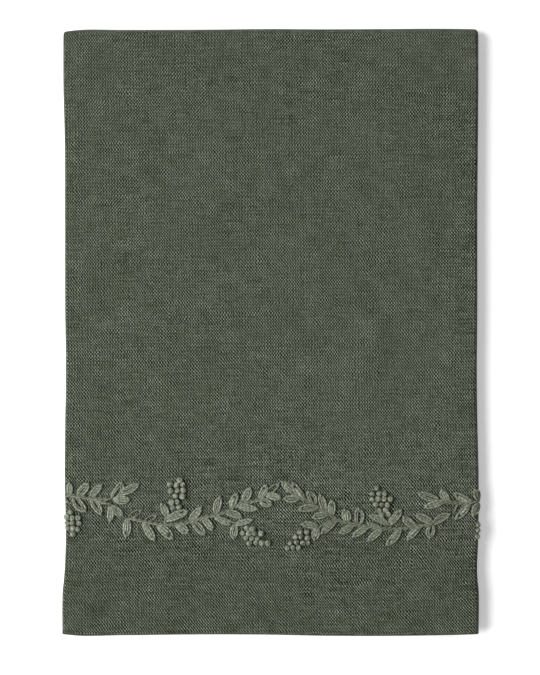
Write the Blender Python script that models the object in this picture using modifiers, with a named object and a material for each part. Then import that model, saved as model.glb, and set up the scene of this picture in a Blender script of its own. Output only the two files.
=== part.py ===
"""Folded linen table napkin with a garland embroidered along its hem.

The napkin is one square of cloth. It is folded in thirds, both flaps behind, and then in half behind itself,
which gives six layers with the fold at +Y and the hem at -Y. The embroidery lies on the upper face.
Metres, +Z up. The origin is the middle of the underside.
"""

import math
import random

import bmesh
import bpy
import numpy as np
from mathutils import Matrix, Vector

COLLECTION = "folded_napkin"

# Cloth: the thickness of one layer, and the rise from one layer to the next.
CLOTH = 0.001
LAYER_PITCH = 0.00135
LAYERS = 6
NAPKIN_WIDTH = 0.508
NAPKIN_LENGTH = 0.508
HEM_DEPTH = 0.0227
HEM_RAMP = 0.005
HEM_SWELL = 0.055

# The folded pack.
PACK_WIDTH = 0.174
PACK_LENGTH = 0.254
PACK_HEIGHT = (LAYERS - 1) * LAYER_PITCH + CLOTH
FLAP_SKEW = {"left": 0.0016, "right": 0.0021}

# How far the pack's edges stray. Columns: place along the pack (y), left edge (x), right edge (x).
SIDE_EDGES = (
    (-0.1270, -0.0874, 0.0870),
    (-0.1080, -0.0872, 0.0870),
    (-0.1010, -0.0866, 0.0865),
    (-0.0890, -0.0861, 0.0869),
    (-0.0600, -0.0865, 0.0871),
    (-0.0370, -0.0863, 0.0866),
    (-0.0200, -0.0860, 0.0864),
    (0.0100, -0.0863, 0.0866),
    (0.0500, -0.0864, 0.0866),
    (0.0860, -0.0866, 0.0869),
    (0.1000, -0.0870, 0.0870),
    (0.1270, -0.0871, 0.0870),
)
# Columns: place across the pack (x), hem (y), fold (y).
END_EDGES = (
    (-0.0870, -0.1267, 0.1259),
    (-0.0820, -0.1272, 0.1265),
    (-0.0620, -0.1271, 0.1266),
    (-0.0300, -0.1268, 0.1267),
    (0.0000, -0.1269, 0.1270),
    (0.0200, -0.1273, 0.1269),
    (0.0480, -0.1274, 0.1270),
    (0.0730, -0.1271, 0.1271),
    (0.0870, -0.1267, 0.1269),
)
# Soft rises of the layers. Columns: share of the height, waves across, waves along, phase.
WAVES = (
    (0.016, 1.3, 0.7, 0.4),
    (0.011, 0.6, 2.1, 1.9),
    (0.007, 2.9, 1.4, 3.3),
)

# Embroidery: thread stands this far off the cloth, and these are the stitches' own sizes.
THREAD_GAP = 0.0003
STEM_RADIUS = 0.00055
STEM_STEP = 0.0032
FOLD_STEM_STEP = 0.0011
LEAF_HEIGHT = 0.0009
LEAF_UNDERSIDE = 0.3
LEAF_TAPER = 0.12
KNOT_RADIUS = 0.00136
KNOT_HEIGHT = 0.0016
KNOT_PITCH = 0.0023
HAND_WANDER = 0.00015

# The garland mirrors about this line. Each half is charted by itself, because hand sewing made them differ.
MIRROR_LINE = 0.0027
# Stitches past these places lie on the hidden side of the side folds and aren't modelled.
FOLD_REACH = {"left": -0.0866, "right": 0.0866}

# Stems. Columns: distance from the mirror line, height above the hem.
MAIN_STEM = {
    "right": (
        (0.0060, 0.0600),
        (0.0093, 0.0578),
        (0.0128, 0.0560),
        (0.0163, 0.0538),
        (0.0213, 0.0510),
        (0.0243, 0.0490),
        (0.0273, 0.0478),
        (0.0323, 0.0465),
        (0.0373, 0.0459),
        (0.0423, 0.0451),
        (0.0473, 0.0448),
        (0.0523, 0.0449),
        (0.0573, 0.0456),
        (0.0655, 0.0465),
    ),
    "left": (
        (0.0045, 0.0592),
        (0.0072, 0.0570),
        (0.0117, 0.0556),
        (0.0157, 0.0550),
        (0.0187, 0.0535),
        (0.0227, 0.0512),
        (0.0267, 0.0501),
        (0.0307, 0.0493),
        (0.0357, 0.0478),
        (0.0407, 0.0466),
        (0.0457, 0.0462),
        (0.0507, 0.0464),
        (0.0547, 0.0473),
        (0.0587, 0.0482),
        (0.0637, 0.0493),
    ),
}
BUNCH_STEM = {
    "right": ((0.0243, 0.0490), (0.0198, 0.0472), (0.0173, 0.0458), (0.0165, 0.0451)),
    "left": ((0.0276, 0.0499), (0.0237, 0.0486), (0.0202, 0.0473), (0.0180, 0.0460)),
}
UPPER_TWIG = {
    "right": ((0.0475, 0.0449), (0.0463, 0.0466), (0.0452, 0.0486)),
    "left": ((0.0487, 0.0463), (0.0475, 0.0480), (0.0467, 0.0496)),
}
SIDE_STEM = {
    "right": ((0.0670, 0.0566), (0.0723, 0.0556), (0.0773, 0.0552), (0.0875, 0.0553)),
    "left": (
        (0.0692, 0.0570),
        (0.0727, 0.0572),
        (0.0777, 0.0576),
        (0.0817, 0.0579),
        (0.0857, 0.0585),
        (0.0930, 0.0587),
    ),
}
SIDE_TWIG = {
    "right": ((0.0731, 0.0517), (0.0748, 0.0534), (0.0765, 0.0552)),
    "left": ((0.0702, 0.0542), (0.0722, 0.0554), (0.0747, 0.0563), (0.0782, 0.0576)),
}

# Leaves. Columns: foot (from the mirror line, above the hem), tip (the same), width.
MAIN_LEAVES = {
    "right": (
        (0.0064, 0.0598, 0.0017, 0.0640, 0.0032),
        (0.0111, 0.0570, 0.0060, 0.0639, 0.0030),
        (0.0093, 0.0577, 0.0025, 0.0571, 0.0030),
        (0.0154, 0.0546, 0.0125, 0.0603, 0.0035),
        (0.0198, 0.0520, 0.0176, 0.0590, 0.0033),
        (0.0166, 0.0535, 0.0086, 0.0529, 0.0032),
        (0.0224, 0.0502, 0.0225, 0.0566, 0.0033),
        (0.0210, 0.0510, 0.0143, 0.0494, 0.0031),
        (0.0170, 0.0456, 0.0098, 0.0464, 0.0031),
        (0.0164, 0.0453, 0.0150, 0.0398, 0.0037),
        (0.0246, 0.0488, 0.0182, 0.0427, 0.0030),
        (0.0287, 0.0474, 0.0277, 0.0529, 0.0036),
        (0.0316, 0.0467, 0.0259, 0.0429, 0.0031),
        (0.0336, 0.0463, 0.0337, 0.0534, 0.0043),
        (0.0379, 0.0459, 0.0313, 0.0415, 0.0030),
        (0.0436, 0.0449, 0.0377, 0.0400, 0.0031),
        (0.0430, 0.0449, 0.0374, 0.0473, 0.0024),
        (0.0460, 0.0469, 0.0384, 0.0503, 0.0028),
        (0.0463, 0.0464, 0.0515, 0.0527, 0.0035),
        (0.0514, 0.0448, 0.0454, 0.0382, 0.0032),
        (0.0577, 0.0457, 0.0525, 0.0497, 0.0032),
        (0.0652, 0.0466, 0.0581, 0.0505, 0.0033),
        (0.0599, 0.0460, 0.0545, 0.0402, 0.0029),
        (0.0646, 0.0465, 0.0635, 0.0405, 0.0036),
        (0.0650, 0.0465, 0.0719, 0.0508, 0.0031),
    ),
    "left": (
        (0.0049, 0.0590, -0.0003, 0.0632, 0.0025),
        (0.0080, 0.0567, 0.0049, 0.0627, 0.0031),
        (0.0053, 0.0586, -0.0012, 0.0574, 0.0032),
        (0.0079, 0.0567, 0.0029, 0.0544, 0.0034),
        (0.0149, 0.0551, 0.0117, 0.0615, 0.0036),
        (0.0198, 0.0530, 0.0172, 0.0589, 0.0031),
        (0.0175, 0.0543, 0.0090, 0.0527, 0.0030),
        (0.0264, 0.0502, 0.0244, 0.0576, 0.0033),
        (0.0225, 0.0513, 0.0155, 0.0490, 0.0030),
        (0.0270, 0.0498, 0.0204, 0.0460, 0.0027),
        (0.0183, 0.0462, 0.0109, 0.0482, 0.0026),
        (0.0182, 0.0462, 0.0188, 0.0402, 0.0034),
        (0.0320, 0.0489, 0.0278, 0.0436, 0.0030),
        (0.0374, 0.0474, 0.0325, 0.0532, 0.0029),
        (0.0362, 0.0476, 0.0312, 0.0419, 0.0035),
        (0.0430, 0.0463, 0.0379, 0.0425, 0.0034),
        (0.0476, 0.0478, 0.0380, 0.0517, 0.0033),
        (0.0467, 0.0493, 0.0492, 0.0551, 0.0031),
        (0.0510, 0.0463, 0.0445, 0.0402, 0.0036),
        (0.0563, 0.0477, 0.0511, 0.0501, 0.0023),
        (0.0570, 0.0478, 0.0520, 0.0398, 0.0033),
        (0.0630, 0.0492, 0.0575, 0.0524, 0.0027),
        (0.0636, 0.0492, 0.0643, 0.0412, 0.0034),
    ),
}
SIDE_LEAVES = {
    "right": (
        (0.0676, 0.0565, 0.0589, 0.0596, 0.0035),
        (0.0718, 0.0557, 0.0685, 0.0612, 0.0033),
        (0.0698, 0.0560, 0.0616, 0.0536, 0.0029),
        (0.0814, 0.0553, 0.0740, 0.0593, 0.0031),
        (0.0838, 0.0554, 0.0824, 0.0606, 0.0028),
        (0.0806, 0.0552, 0.0745, 0.0486, 0.0030),
        (0.0837, 0.0551, 0.0817, 0.0497, 0.0028),
    ),
    "left": (
        (0.0690, 0.0570, 0.0624, 0.0569, 0.0034),
        (0.0699, 0.0571, 0.0655, 0.0640, 0.0040),
        (0.0667, 0.0590, 0.0585, 0.0633, 0.0035),
        (0.0788, 0.0577, 0.0739, 0.0630, 0.0030),
        (0.0842, 0.0583, 0.0795, 0.0639, 0.0035),
        (0.0877, 0.0586, 0.0876, 0.0640, 0.0027),
        (0.0858, 0.0584, 0.0810, 0.0522, 0.0038),
        (0.0788, 0.0576, 0.0747, 0.0508, 0.0036),
        (0.0884, 0.0586, 0.0868, 0.0549, 0.0024),
        (0.0704, 0.0544, 0.0708, 0.0478, 0.0030),
        (0.0703, 0.0543, 0.0654, 0.0503, 0.0031),
    ),
}
# Rows of knots in each bunch. Columns: height above the hem, the first knot's distance from the mirror line,
# number of knots, counted away from the mirror line.
BUNCHES = {
    "right": {
        "low_bunch": ((0.0430, 0.0094, 2), (0.0409, 0.0073, 3), (0.0388, 0.0054, 4), (0.0368, 0.0037, 3)),
        "high_bunch": (
            (0.0612, 0.0415, 1),
            (0.0593, 0.0399, 3),
            (0.0572, 0.0397, 4),
            (0.0551, 0.0412, 3),
            (0.0531, 0.0426, 2),
            (0.0511, 0.0435, 2),
        ),
        "fold_bunch": ((0.0459, 0.0832, 1), (0.0437, 0.0830, 1), (0.0415, 0.0828, 1)),
    },
    "left": {
        "low_bunch": ((0.0442, 0.0108, 2), (0.0424, 0.0078, 4), (0.0404, 0.0088, 3), (0.0385, 0.0047, 4)),
        "high_bunch": (
            (0.0647, 0.0416, 1),
            (0.0626, 0.0405, 3),
            (0.0604, 0.0401, 3),
            (0.0582, 0.0405, 2),
            (0.0561, 0.0426, 2),
            (0.0540, 0.0419, 2),
        ),
        "fold_bunch": (
            (0.0512, 0.0869, 1),
            (0.0491, 0.0840, 3),
            (0.0470, 0.0837, 3),
            (0.0449, 0.0839, 3),
            (0.0428, 0.0857, 1),
        ),
    },
}

LINEN_COLOUR = (0.080, 0.095, 0.067)
THREAD_COLOUR = (0.200, 0.226, 0.166)


def smooth_row(at, places, values):
    """Reads a table of places and values on a smooth curve through its rows."""
    slopes = np.gradient(values, places)
    row = np.clip(np.searchsorted(places, at) - 1, 0, len(places) - 2)
    span = places[row + 1] - places[row]
    share = np.clip((at - places[row]) / span, 0.0, 1.0)
    rise = share * share * (3 - 2 * share)
    bulge_in = share * (1 - share) ** 2 * slopes[row] * span
    bulge_out = share * share * (share - 1) * slopes[row + 1] * span
    return values[row] * (1 - rise) + values[row + 1] * rise + bulge_in + bulge_out


def fold_in_thirds(u, v, out):
    """Folds both flaps behind: the place across the pack, along it, and the depth under its upper face.

    u and v are places on the flat cloth, from the middle of the front panel. out is the height over the
    middle of the layer, towards the outer face of the cloth.
    """
    left = u < 0
    radius = np.where(left, LAYER_PITCH / 2, LAYER_PITCH)
    turn = PACK_WIDTH / 2 - radius - CLOTH / 2
    past_turn = np.abs(u) - turn
    angle = np.clip(past_turn / radius, 0.0, math.pi)
    on_flap = np.maximum(past_turn - math.pi * radius, 0.0)
    reach = np.minimum(np.abs(u), turn) - on_flap + (radius + out) * np.sin(angle)
    x = np.where(left, -reach, reach)
    depth = CLOTH / 2 + radius - (radius + out) * np.cos(angle)
    skew = np.where(left, FLAP_SKEW["left"], FLAP_SKEW["right"])
    return x, v + skew * on_flap / (NAPKIN_WIDTH / 3), depth


def fold_in_half(v, depth):
    """Folds the pack behind itself: the place along the finished pack, and the height."""
    middle = PACK_HEIGHT / 2
    bend_start = PACK_LENGTH / 2 - middle
    bend_length = math.pi * (middle - CLOTH / 2)
    past_bend = v - bend_start
    angle = np.clip(past_bend / bend_length, 0.0, 1.0) * math.pi
    on_back = np.maximum(past_bend - bend_length, 0.0)
    y = np.minimum(v, bend_start) - on_back + (middle - depth) * np.sin(angle)
    z = middle + (middle - depth) * np.cos(angle)
    return y, z


def stray(x, y, z):
    """Moves the true pack's points to its uneven edges, its swollen hem and its soft rises."""
    across = x / PACK_WIDTH + 0.5
    along = y / PACK_LENGTH + 0.5
    sides = np.array(SIDE_EDGES)
    ends = np.array(END_EDGES)
    left = smooth_row(y, sides[:, 0], sides[:, 1])
    right = smooth_row(y, sides[:, 0], sides[:, 2])
    hem = smooth_row(x, ends[:, 0], ends[:, 1])
    fold = smooth_row(x, ends[:, 0], ends[:, 2])
    into_hem = np.clip((HEM_DEPTH + HEM_RAMP / 2 - (y + PACK_LENGTH / 2)) / HEM_RAMP, 0.0, 1.0)
    rise = 1 + HEM_SWELL * into_hem * into_hem * (3 - 2 * into_hem)
    for share, waves_across, waves_along, phase in WAVES:
        turns = 2 * math.pi * (waves_across * across + waves_along * along)
        rise = rise + share * np.sin(turns + phase + 0.5 * z / PACK_HEIGHT)
    return left + (right - left) * across, hem + (fold - hem) * along, z * rise


def folded(points):
    """Takes points of the flat cloth (across, along, height over the layer's middle) to the folded pack."""
    points = np.asarray(points, float).reshape(-1, 3)
    x, v, depth = fold_in_thirds(points[:, 0], points[:, 1], points[:, 2])
    y, z = fold_in_half(v, depth)
    return np.stack(stray(x, y, z), axis=1)


def on_cloth(u, height_over_hem, rise=0.0):
    """A place on the upper face, or rise above it."""
    return Vector(folded((u, height_over_hem - PACK_LENGTH / 2, CLOTH / 2 + rise))[0])


def stations(*stretches):
    """Joins stretches of (start, end, steps) into one row of places."""
    places = [stretches[0][0]]
    for start, end, steps in stretches:
        places.extend(start + (end - start) * (step + 1) / steps for step in range(steps))
    return np.array(places)


def across_stations():
    """Places across the cloth: close together in the two side folds."""
    left_radius = LAYER_PITCH / 2
    right_radius = LAYER_PITCH
    left_turn = -(PACK_WIDTH / 2 - left_radius - CLOTH / 2)
    right_turn = PACK_WIDTH / 2 - right_radius - CLOTH / 2
    left_flap = left_turn - math.pi * left_radius
    right_flap = right_turn + math.pi * right_radius
    flap = (NAPKIN_WIDTH - (right_flap - left_flap)) / 2
    return stations(
        (left_flap - flap, left_flap, 6),
        (left_flap, left_turn, 5),
        (left_turn, right_turn, 11),
        (right_turn, right_flap, 6),
        (right_flap, right_flap + flap, 6),
    )


def along_stations():
    """Places along the cloth: close together where the hem ends and in the half fold."""
    hem = -PACK_LENGTH / 2
    hem_end = hem + HEM_DEPTH - HEM_RAMP / 2
    bend_start = PACK_LENGTH / 2 - PACK_HEIGHT / 2
    bend_end = bend_start + math.pi * (PACK_HEIGHT - CLOTH) / 2
    far_end = hem + NAPKIN_LENGTH
    far_hem = far_end - HEM_DEPTH
    return stations(
        (hem, hem_end, 2),
        (hem_end, hem_end + HEM_RAMP, 2),
        (hem_end + HEM_RAMP, bend_start, 9),
        (bend_start, bend_end, 8),
        (bend_end, far_hem, 9),
        (far_hem, far_end, 2),
    )


def material(name, colour, roughness):
    """A cloth-like Principled material."""
    made = bpy.data.materials.new(name)
    made.use_nodes = True
    shader = made.node_tree.nodes["Principled BSDF"]
    shader.inputs["Base Color"].default_value = (*colour, 1.0)
    shader.inputs["Roughness"].default_value = roughness
    shader.inputs["Metallic"].default_value = 0.0
    made.diffuse_color = (*colour, 1.0)
    return made


def add_object(name, mesh, parts):
    """Puts a mesh into the collection as one named object."""
    obj = bpy.data.objects.new(name, mesh)
    parts.objects.link(obj)
    return obj


def evaluated_mesh(obj):
    """The object's mesh with its modifiers applied."""
    graph = bpy.context.evaluated_depsgraph_get()
    return bpy.data.meshes.new_from_object(obj.evaluated_get(graph))


def make_napkin(parts):
    """The whole cloth: a flat sheet with its true thickness, folded point by point."""
    across = across_stations()
    along = along_stations()
    columns = len(across) - 1
    rows = len(along) - 1
    bm = bmesh.new()
    bmesh.ops.create_grid(bm, x_segments=columns, y_segments=rows, size=0.5)
    for vert in bm.verts:
        column = round((vert.co.x + 0.5) * columns)
        row = round((vert.co.y + 0.5) * rows)
        vert.co = (across[column], along[row], 0.0)
    flat = bpy.data.meshes.new("flat_sheet")
    bm.to_mesh(flat)
    bm.free()
    sheet = add_object("flat_sheet", flat, parts)
    thickness = sheet.modifiers.new("thickness", "SOLIDIFY")
    thickness.thickness = CLOTH
    thickness.offset = 0.0
    mesh = evaluated_mesh(sheet)
    bpy.data.objects.remove(sheet)
    corners = np.empty(len(mesh.vertices) * 3)
    mesh.vertices.foreach_get("co", corners)
    mesh.vertices.foreach_set("co", folded(corners).ravel())
    mesh.update()
    mesh.shade_smooth()
    mesh.set_sharp_from_angle(angle=math.radians(50))
    napkin = add_object("napkin", mesh, parts)
    napkin.data.materials.append(material("linen", LINEN_COLOUR, 0.9))


def place_in_garland(side, distance, height):
    """A chart place as a place on the cloth: side is 1 for the right half and -1 for the left."""
    across = min(max(MIRROR_LINE + side * distance, FOLD_REACH["left"]), FOLD_REACH["right"])
    return across, height


def stem_points(side, chart, step):
    """Evenly spaced points along a smooth curve through a stem's chart."""
    rows = np.array([place_in_garland(side, *row) for row in chart])
    steps = np.r_[0.0, np.cumsum(np.hypot(*np.diff(rows, axis=0).T))]
    count = max(3, math.ceil(steps[-1] / step) + 1)
    at = np.linspace(0.0, steps[-1], count)
    across = smooth_row(at, steps, rows[:, 0])
    along = smooth_row(at, steps, rows[:, 1])
    return list(zip(across, along))


def make_stem(side, chart, parts, lift=0.0, step=STEM_STEP):
    """A stem as a round thread lying on the cloth, made a mesh with its end caps welded."""
    curve = bpy.data.curves.new("stem", "CURVE")
    curve.dimensions = "3D"
    curve.bevel_depth = STEM_RADIUS
    curve.bevel_resolution = 1
    curve.use_fill_caps = True
    spline = curve.splines.new("POLY")
    points = stem_points(side, chart, step)
    spline.points.add(len(points) - 1)
    for point, (across, along) in zip(spline.points, points):
        place = on_cloth(across, along, THREAD_GAP + STEM_RADIUS + lift)
        point.co = (*place, 1.0)
    guide = add_object("stem_guide", curve, parts)
    mesh = evaluated_mesh(guide)
    bpy.data.objects.remove(guide)
    bm = bmesh.new()
    bm.from_mesh(mesh)
    bmesh.ops.remove_doubles(bm, verts=bm.verts, dist=0.00001)
    bm.to_mesh(mesh)
    bm.free()
    return add_object("stem", mesh, parts)


def make_leaf(side, row, wander, parts):
    """A leaf: a lens with a pointed foot and a rounder tip, bent to lie on the cloth."""
    foot_across, foot_along, tip_across, tip_along, width = row
    foot = Vector(place_in_garland(side, foot_across, foot_along))
    tip = Vector(place_in_garland(side, tip_across, tip_along))
    tip += Vector((wander.uniform(-HAND_WANDER, HAND_WANDER), wander.uniform(-HAND_WANDER, HAND_WANDER)))
    width = width * wander.uniform(0.94, 1.08)
    gap = THREAD_GAP * wander.uniform(1.0, 1.25)
    axis = tip - foot
    beside = Vector((-axis.y, axis.x)).normalized()
    bm = bmesh.new()
    bmesh.ops.create_uvsphere(bm, u_segments=6, v_segments=5, radius=1.0)
    flat = []
    for vert in bm.verts:
        lengthwise = vert.co.z
        fullness = 1 + LEAF_TAPER * lengthwise
        rise = vert.co.y if vert.co.y > 0 else vert.co.y * LEAF_UNDERSIDE
        place = foot + axis * (lengthwise + 1) / 2 + beside * vert.co.x * fullness * width / 2
        height = gap + LEAF_HEIGHT * (LEAF_UNDERSIDE + rise * fullness) / (1 + LEAF_UNDERSIDE)
        flat.append((place.x, place.y - PACK_LENGTH / 2, CLOTH / 2 + height))
    for vert, place in zip(bm.verts, folded(flat)):
        vert.co = place
    bmesh.ops.recalc_face_normals(bm, faces=bm.faces)
    mesh = bpy.data.meshes.new("leaf")
    bm.to_mesh(mesh)
    bm.free()
    return add_object("leaf", mesh, parts)


def make_knot(across, along, wander, parts):
    """A wound knot: a flattened ball that keeps its own shape, also on a fold."""
    step = KNOT_RADIUS / 4
    rise = THREAD_GAP * wander.uniform(1.0, 1.3) + KNOT_HEIGHT / 2
    centre = on_cloth(across, along, rise)
    east = (on_cloth(across + step, along, rise) - on_cloth(across - step, along, rise)).normalized()
    north = (on_cloth(across, along + step, rise) - on_cloth(across, along - step, rise)).normalized()
    up = east.cross(north).normalized()
    frame = Matrix((east, up.cross(east), up)).transposed().to_4x4()
    size = wander.uniform(0.93, 1.07)
    scale = Matrix.Diagonal((KNOT_RADIUS * size, KNOT_RADIUS * size, KNOT_HEIGHT / 2, 1.0))
    turn = Matrix.Rotation(wander.uniform(0, math.pi), 4, "Z")
    bm = bmesh.new()
    bmesh.ops.create_uvsphere(bm, u_segments=8, v_segments=4, radius=1.0)
    bmesh.ops.transform(bm, matrix=Matrix.Translation(centre) @ frame @ turn @ scale, verts=bm.verts)
    mesh = bpy.data.meshes.new("knot")
    bm.to_mesh(mesh)
    bm.free()
    return add_object("knot", mesh, parts)


def make_bunch(side, rows, wander, parts):
    """Knots in staggered rows, like a bunch of berries."""
    knots = []
    for height, first, count in rows:
        for column in range(count):
            across, along = place_in_garland(side, first + column * KNOT_PITCH, height)
            across += wander.uniform(-HAND_WANDER, HAND_WANDER)
            along += wander.uniform(-HAND_WANDER, HAND_WANDER)
            knots.append(make_knot(across, along, wander, parts))
    return knots


def fuse(name, pieces, parts):
    """Unites stitches that touch into one closed body of thread."""
    body = pieces[0]
    for piece in pieces[1:]:
        joint = body.modifiers.new("join", "BOOLEAN")
        joint.operation = "UNION"
        joint.solver = "EXACT"
        joint.object = piece
    mesh = evaluated_mesh(body)
    mesh.materials.clear()
    mesh.materials.append(material(f"{name}_thread", THREAD_COLOUR, 0.75))
    mesh.shade_smooth()
    mesh.set_sharp_from_angle(angle=math.radians(40))
    for piece in pieces:
        bpy.data.objects.remove(piece)
    add_object(name, mesh, parts)


def make_half_garland(side, label, parts):
    """The stems, leaves and bunches of one half of the garland."""
    wander = random.Random(17 if side > 0 else 29)
    main = [make_stem(side, MAIN_STEM[label], parts)]
    main.append(make_stem(side, UPPER_TWIG[label], parts, 0.00004))
    main.append(make_stem(side, BUNCH_STEM[label], parts, 0.00003))
    main += [make_leaf(side, row, wander, parts) for row in MAIN_LEAVES[label]]
    fuse(f"{label}_garland", main, parts)
    edge = [make_stem(side, SIDE_STEM[label], parts, step=FOLD_STEM_STEP)]
    edge.append(make_stem(side, SIDE_TWIG[label], parts, 0.00005))
    edge += [make_leaf(side, row, wander, parts) for row in SIDE_LEAVES[label]]
    fuse(f"{label}_side_spray", edge, parts)
    for name, rows in BUNCHES[label].items():
        fuse(f"{label}_{name}", make_bunch(side, rows, wander, parts), parts)


def build():
    for obj in list(bpy.data.objects):
        bpy.data.objects.remove(obj)
    parts = bpy.data.collections.new(COLLECTION)
    bpy.context.scene.collection.children.link(parts)
    make_napkin(parts)
    make_half_garland(1, "right", parts)
    make_half_garland(-1, "left", parts)


build()
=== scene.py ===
"""Looks of the folded linen napkin: its woven cloth, sewn hem and garland stitched in thick thread.

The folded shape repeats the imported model's: folded in thirds, then in half, at the same places. The cloth
here is thinner and finer, and every stitch is its own thread. Metres, +Z up.
"""

import math
import random

import bmesh
import bpy
import numpy as np
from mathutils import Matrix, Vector


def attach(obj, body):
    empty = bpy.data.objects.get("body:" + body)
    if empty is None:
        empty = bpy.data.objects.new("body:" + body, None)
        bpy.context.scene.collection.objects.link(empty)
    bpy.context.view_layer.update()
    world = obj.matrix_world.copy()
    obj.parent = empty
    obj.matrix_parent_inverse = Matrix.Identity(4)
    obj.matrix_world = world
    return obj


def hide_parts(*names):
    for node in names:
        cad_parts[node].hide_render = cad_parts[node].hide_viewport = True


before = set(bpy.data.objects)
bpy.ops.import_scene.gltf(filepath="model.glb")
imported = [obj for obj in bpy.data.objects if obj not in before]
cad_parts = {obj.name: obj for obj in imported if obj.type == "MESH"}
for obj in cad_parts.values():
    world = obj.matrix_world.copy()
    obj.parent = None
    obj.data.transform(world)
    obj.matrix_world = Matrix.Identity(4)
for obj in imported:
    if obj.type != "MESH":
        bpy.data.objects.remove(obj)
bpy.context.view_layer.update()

# The cloth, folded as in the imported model, with that model's thickness and distance between layers.
SOLID_CLOTH = 0.001
LAYER_PITCH = 0.00135
LAYERS = 6
NAPKIN_WIDTH = 0.508
NAPKIN_LENGTH = 0.508
HEM_DEPTH = 0.0227
# The pack swells by this share in its hem, over this ramp.
HEM_SWELL = 0.055
HEM_RAMP = 0.005
PACK_WIDTH = 0.174
PACK_LENGTH = 0.254
PACK_HEIGHT = (LAYERS - 1) * LAYER_PITCH + SOLID_CLOTH
# Places across the flat cloth where the side folds start and end, and along it for the fold in half.
LEFT_TURN = -(PACK_WIDTH / 2 - LAYER_PITCH / 2 - SOLID_CLOTH / 2)
RIGHT_TURN = PACK_WIDTH / 2 - LAYER_PITCH - SOLID_CLOTH / 2
LEFT_FLAP = LEFT_TURN - math.pi * LAYER_PITCH / 2
RIGHT_FLAP = RIGHT_TURN + math.pi * LAYER_PITCH
BEND_START = PACK_LENGTH / 2 - PACK_HEIGHT / 2
BEND_LENGTH = math.pi * (PACK_HEIGHT - SOLID_CLOTH) / 2
# The four edges of the flat cloth: left, right, hem and far hem.
FLAP = (NAPKIN_WIDTH - (RIGHT_FLAP - LEFT_FLAP)) / 2
CLOTH_EDGES = (LEFT_FLAP - FLAP, RIGHT_FLAP + FLAP, -PACK_LENGTH / 2, NAPKIN_LENGTH - PACK_LENGTH / 2)
# How far each flap's edge is off along the pack, because it is folded askew.
FLAP_SKEW = {"left": 0.0016, "right": 0.0021}

# Rows of place along the pack (y), left edge (x), right edge (x).
SIDE_EDGES = (
    (-0.1270, -0.0874, 0.0870), (-0.1080, -0.0872, 0.0870), (-0.1010, -0.0866, 0.0865),
    (-0.0890, -0.0861, 0.0869), (-0.0600, -0.0865, 0.0871), (-0.0370, -0.0863, 0.0866),
    (-0.0200, -0.0860, 0.0864), (0.0100, -0.0863, 0.0866), (0.0500, -0.0864, 0.0866),
    (0.0860, -0.0866, 0.0869), (0.1000, -0.0870, 0.0870), (0.1270, -0.0871, 0.0870),
)
# Rows of place across the pack (x), hem (y), fold (y).
END_EDGES = (
    (-0.0870, -0.1267, 0.1259), (-0.0820, -0.1272, 0.1265), (-0.0620, -0.1271, 0.1266),
    (-0.0300, -0.1268, 0.1267), (0.0000, -0.1269, 0.1270), (0.0200, -0.1273, 0.1269),
    (0.0480, -0.1274, 0.1270), (0.0730, -0.1271, 0.1271), (0.0870, -0.1267, 0.1269),
)
# Columns: share of the height, waves across, waves along, phase.
WAVES = ((0.016, 1.3, 0.7, 0.4), (0.011, 0.6, 2.1, 1.9), (0.007, 2.9, 1.4, 3.3))

# The finer cloth. Its outer face lies a little under the solid's, and flush with it in the hems.
SHEET = 0.0007
SHEET_OUT = 0.00006
# The hems are thicker by this share, over this step.
HEM_FULLNESS = 0.38
HEM_STEP = 0.0011
# The sewn row draws the outer face in by this depth, and fades out over about this distance.
HEM_SEAM = 0.00016
HEM_SEAM_REACH = 0.0006
# An edge is rounded over this distance, down to this share of its thickness, squared.
EDGE_ROUNDING = 0.00028
EDGE_BLUNTNESS = 0.03
# Longest steps of the mesh on open cloth, near an edge, at the sewn row, and round each fold.
GRID_STEP = 0.0026
EDGE_STEP = 0.0006
SEAM_STEP = 0.0004
LEFT_FOLD_STEP = 0.00024
RIGHT_FOLD_STEP = 0.00036
TOP_FOLD_STEP = 0.0006
# How far in from an edge its finer steps go, and how far to each side of the sewn row.
EDGE_REACH = 0.0016
SEAM_REACH = 0.0012
UV_PER_METRE = 10.0

# Weave: the distance from one thread to the next.
WARP_PITCH = 0.000583
WEFT_PITCH = 0.000733
# Tones of the weave: the ground, the floats, and how floats differ singly and from place to place.
GROUND_TONE = 0.66
FLOAT_GAIN = 2.7
FLOAT_SPREAD = 0.9
GAIN_DRIFT = 0.6
# Every second warp thread and weft row is paler: each wave's tone, and where it starts.
PAIR_TONE = 0.50
PAIR_START = 0.8
ROW_TONE = 0.27
ROW_START = 2.1
# Tones over the pale one are drawn back by this share, and none is darker than the lowest.
PALE_FROM = 1.3
PALE_DRAWN_BACK = 0.45
LOWEST_TONE = 0.03
# Tones of fibres, of uneven warp and weft, of weft where it is thick, and of wide soft clouds.
FIBRE_TONE = 3.0
WARP_SLUB = 0.35
WEFT_SLUB = 2.0
THICK_SLUB = 3.4
THICK_FROM = 0.2
CLOUD_TONE = 0.36
# How far threads stray from even spacing, in spacings: in groups, each by itself, and here and there.
THREAD_STRAY = {"group": 2.6, "each": 0.8, "spot": 1.6}
# How the floats slant, from the middle of the front panel towards the fold.
LEAN = -0.12
LEAN_PER_MM = 0.0013
LEAN_DRIFT = 0.8
# The cloth is a little darker by a share near its edges, from below the embroidery out.
HEM_SHADE = 0.075
SHADE_FROM_MM = 50.0
SHADE_RAMP_MM = 14.0
# The sewn row is darker by a share over a half width, fades out at SEAM_END half widths, and is patchy.
# The darkening is partly its needle holes and partly painted shade in the row's drawn-in dip.
SEAM_SHADE = 0.24
SEAM_HALF_MM = 0.18
SEAM_END = 1.5
SEAM_SWAY_MM = 0.35
SEAM_PATCHES = 2.0
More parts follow.
